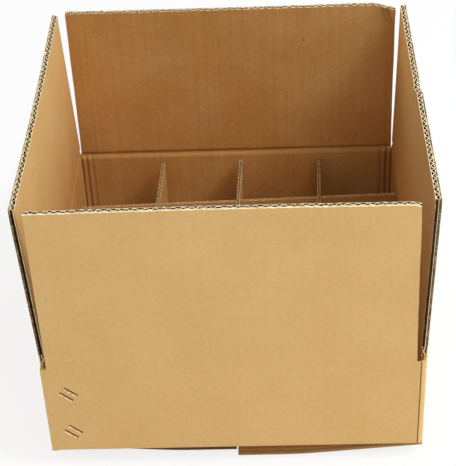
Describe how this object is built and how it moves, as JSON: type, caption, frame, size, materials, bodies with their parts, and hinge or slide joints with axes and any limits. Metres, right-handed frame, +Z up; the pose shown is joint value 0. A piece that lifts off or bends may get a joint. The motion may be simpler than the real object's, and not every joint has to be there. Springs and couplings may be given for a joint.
{
  "type": "bottle shipping box",
  "caption": "Square corrugated shipping carton with its top flaps standing open, a stitched side joint and a slotted grid of card dividers that keeps bottles apart.",
  "frame": {"origin": "middle of the box's footprint, on the surface that it stands on", "axes": "+X to the right of the stitched front panel, +Y from that panel to the back, +Z up"},
  "size_m": [0.3621, 0.3521, 0.296],
  "materials": {
    "kraft_board": "matt",
    "divider_board": "matt",
    "stitch_wire": "dull copper coat"
  },
  "bodies": {
    "carton": {"carton_body": "kraft_board", "wire_stitches": "stitch_wire", "cross_divider_1": "divider_board", "cross_divider_2": "divider_board", "cross_divider_3": "divider_board", "long_divider_1": "divider_board", "long_divider_2": "divider_board", "long_divider_3": "divider_board"},
    "front_flap": {"top_flap_front": "kraft_board"},
    "back_flap": {"top_flap_back": "kraft_board"},
    "left_flap": {"top_flap_left": "kraft_board"},
    "right_flap": {"top_flap_right": "kraft_board"},
    "floor_flap_left": {"bottom_flap_left": "kraft_board"},
    "floor_flap_right": {"bottom_flap_right": "kraft_board"}
  },
  "joints": [
    {"name": "front_flap_crease", "type": "hinge", "parent": "carton", "child": "front_flap", "pos_m": [0, -0.175, 0.1217], "axis": [1, 0, 0], "range_deg": [-90.5, 119.5]},
    {"name": "back_flap_crease", "type": "hinge", "parent": "carton", "child": "back_flap", "pos_m": [0, 0.175, 0.1217], "axis": [-1, 0, 0], "range_deg": [-90.2, 119.8]},
    {"name": "left_flap_crease", "type": "hinge", "parent": "carton", "child": "left_flap", "pos_m": [-0.175, 0, 0.1275], "axis": [0, -1, 0], "range_deg": [-92.4, 117.6]},
    {"name": "right_flap_crease", "type": "hinge", "parent": "carton", "child": "right_flap", "pos_m": [0.175, 0, 0.1275], "axis": [0, 1, 0], "range_deg": [-91.7, 118.3]},
    {"name": "left_floor_crease", "type": "hinge", "parent": "carton", "child": "floor_flap_left", "pos_m": [-0.175, 0, 0.0099], "axis": [0, 1, 0], "range_deg": [0, 180]},
    {"name": "right_floor_crease", "type": "hinge", "parent": "carton", "child": "floor_flap_right", "pos_m": [0.175, 0, 0.0099], "axis": [0, -1, 0], "range_deg": [0, 180]}
  ]
}
